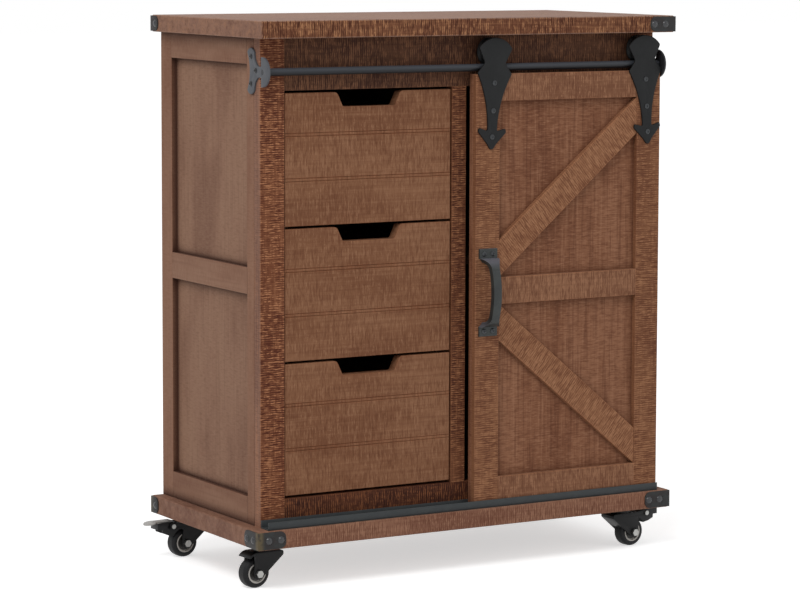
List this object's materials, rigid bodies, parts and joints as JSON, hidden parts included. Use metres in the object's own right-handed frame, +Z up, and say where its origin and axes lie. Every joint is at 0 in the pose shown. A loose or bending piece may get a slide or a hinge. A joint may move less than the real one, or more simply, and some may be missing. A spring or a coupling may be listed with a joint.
{
  "type": "storage cabinet",
  "caption": "Wheeled wooden storage cabinet with stacked drawers beside a sliding barn door that hangs on a rod, with iron corner brackets and swivel casters.",
  "frame": {"origin": "middle of the object's width and depth, on the floor under the wheels", "axes": "+Z up, -Y to the front where the drawers and the door are, +X to the right as seen from the front"},
  "size_m": [0.7046, 0.344, 0.7495],
  "materials": {
    "top_wood": "sawn and stained softwood",
    "base_wood": "sawn and stained softwood",
    "rough_wood": "rough-sawn and stained softwood",
    "rail_wood": "sawn and stained softwood",
    "side_wood": "sawn and stained softwood",
    "panel_wood": "sawn and stained softwood",
    "inner_wood": "plain softwood",
    "drawer_wood": "sawn and stained softwood",
    "box_wood": "plain softwood",
    "door_wood": "sawn and stained softwood",
    "black_iron": "satin charcoal coating",
    "rod_steel": "satin blue-grey coating",
    "corner_iron": "dark patina worn at the edges",
    "handle_iron": "dark casting with worn ridges",
    "screw_steel": "zinc-plated",
    "caster_metal": "glossy black",
    "bolt_steel": "zinc-plated",
    "core_plastic": "moulded",
    "tyre_rubber": "matt black rubber"
  },
  "bodies": {
    "cabinet": {"top_board": "top_wood", "base_board": "base_wood", "front_posts": "rough_wood", "front_top_rail": "rail_wood", "front_bottom_rail": "rail_wood", "middle_stile": "rough_wood", "side_stiles": "side_wood", "side_rails": "side_wood", "side_panels": "panel_wood", "back_panel": "inner_wood", "divider_panel": "inner_wood", "shelf": "inner_wood", "shelf_cleats": "inner_wood", "drawer_runners": "inner_wood", "track_rod": "rod_steel", "track_brackets": "black_iron", "floor_guide": "black_iron", "corner_brackets": "corner_iron", "corner_rivets": "corner_iron", "cabinet_screws": "screw_steel", "caster_plates": "caster_metal"},
    "door": {"door_panel": "door_wood", "door_stiles": "door_wood", "door_rails": "door_wood", "door_braces": "door_wood", "door_handle": "handle_iron", "door_screws": "screw_steel", "left_strap": "black_iron", "right_strap": "black_iron", "roller_axles": "black_iron"},
    "left_roller": {"left_roller": "black_iron"},
    "right_roller": {"right_roller": "black_iron"},
    "drawer_1": {"drawer_1_front": "drawer_wood", "drawer_1_box": "box_wood", "drawer_1_bottom": "box_wood"},
    "drawer_2": {"drawer_2_front": "drawer_wood", "drawer_2_box": "box_wood", "drawer_2_bottom": "box_wood"},
    "drawer_3": {"drawer_3_front": "drawer_wood", "drawer_3_box": "box_wood", "drawer_3_bottom": "box_wood"},
    "caster_front_left": {"caster_front_left_fork": "caster_metal", "caster_front_left_pins": "bolt_steel"},
    "wheel_front_left": {"caster_front_left_core": "core_plastic", "caster_front_left_tyre": "tyre_rubber"},
    "caster_front_right": {"caster_front_right_fork": "caster_metal", "caster_front_right_pins": "bolt_steel"},
    "wheel_front_right": {"caster_front_right_core": "core_plastic", "caster_front_right_tyre": "tyre_rubber"},
    "brake_front_right": {"caster_front_right_brake": "caster_metal"},
    "caster_back_left": {"caster_back_left_fork": "caster_metal", "caster_back_left_pins": "bolt_steel"},
    "wheel_back_left": {"caster_back_left_core": "core_plastic", "caster_back_left_tyre": "tyre_rubber"},
    "brake_back_left": {"caster_back_left_brake": "caster_metal"},
    "caster_back_right": {"caster_back_right_fork": "caster_metal", "caster_back_right_pins": "bolt_steel"},
    "wheel_back_right": {"caster_back_right_core": "core_plastic", "caster_back_right_tyre": "tyre_rubber"}
  },
  "joints": [
    {"name": "door_slide", "type": "slide", "parent": "cabinet", "child": "door", "axis": [1, 0, 0], "range_m": [-0.311, 0]},
    {"name": "left_roller_spin", "type": "hinge", "parent": "door", "child": "left_roller", "pos_m": [0.0374, -0.13555, 0.7033], "axis": [0, 1, 0], "continuous": true},
    {"name": "right_roller_spin", "type": "hinge", "parent": "door", "child": "right_roller", "pos_m": [0.2802, -0.13555, 0.7033], "axis": [0, 1, 0], "continuous": true},
    {"name": "drawer_1_slide", "type": "slide", "parent": "cabinet", "child": "drawer_1", "axis": [0, -1, 0], "range_m": [0, 0.22]},
    {"name": "drawer_2_slide", "type": "slide", "parent": "cabinet", "child": "drawer_2", "axis": [0, -1, 0], "range_m": [0, 0.22]},
    {"name": "drawer_3_slide", "type": "slide", "parent": "cabinet", "child": "drawer_3", "axis": [0, -1, 0], "range_m": [0, 0.22]},
    {"name": "caster_front_left_swivel", "type": "hinge", "parent": "cabinet", "child": "caster_front_left", "pos_m": [-0.2925, -0.10005, 0.0508], "axis": [0, 0, 1], "continuous": true},
    {"name": "wheel_front_left_spin", "type": "hinge", "parent": "caster_front_left", "child": "wheel_front_left", "pos_m": [-0.30746, -0.1011, 0.02], "axis": [-0.0698, 0.9976, 0], "continuous": true},
    {"name": "caster_front_right_swivel", "type": "hinge", "parent": "cabinet", "child": "caster_front_right", "pos_m": [0.273, -0.10805, 0.0508], "axis": [0, 0, 1], "continuous": true},
    {"name": "wheel_front_right_spin", "type": "hinge", "parent": "caster_front_right", "child": "wheel_front_right", "pos_m": [0.28794, -0.10674, 0.02], "axis": [0.0872, -0.9962, 0], "continuous": true},
    {"name": "brake_front_right_pedal", "type": "hinge", "parent": "caster_front_right", "child": "brake_front_right", "pos_m": [0.30936, -0.10487, 0.0457], "axis": [-0.0872, 0.9962, 0], "range_deg": [0, 12]},
    {"name": "caster_back_left_swivel", "type": "hinge", "parent": "cabinet", "child": "caster_back_left", "pos_m": [-0.282, 0.13445, 0.0508], "axis": [0, 0, 1], "continuous": true},
    {"name": "wheel_back_left_spin", "type": "hinge", "parent": "caster_back_left", "child": "wheel_back_left", "pos_m": [-0.29696, 0.1334, 0.02], "axis": [-0.0698, 0.9976, 0], "continuous": true},
    {"name": "brake_back_left_pedal", "type": "hinge", "parent": "caster_back_left", "child": "brake_back_left", "pos_m": [-0.31841, 0.1319, 0.0457], "axis": [0.0698, -0.9976, 0], "range_deg": [0, 12]},
    {"name": "caster_back_right_swivel", "type": "hinge", "parent": "cabinet", "child": "caster_back_right", "pos_m": [0.273, 0.13445, 0.0508], "axis": [0, 0, 1], "continuous": true},
    {"name": "wheel_back_right_spin", "type": "hinge", "parent": "caster_back_right", "child": "wheel_back_right", "pos_m": [0.28794, 0.13576, 0.02], "axis": [0.0872, -0.9962, 0], "continuous": true}
  ],
  "couplings": [
    {"joint": "left_roller_spin", "follows": "door_slide", "rad_per_m": 64.516},
    {"joint": "right_roller_spin", "follows": "door_slide", "rad_per_m": 64.516}
  ]
}
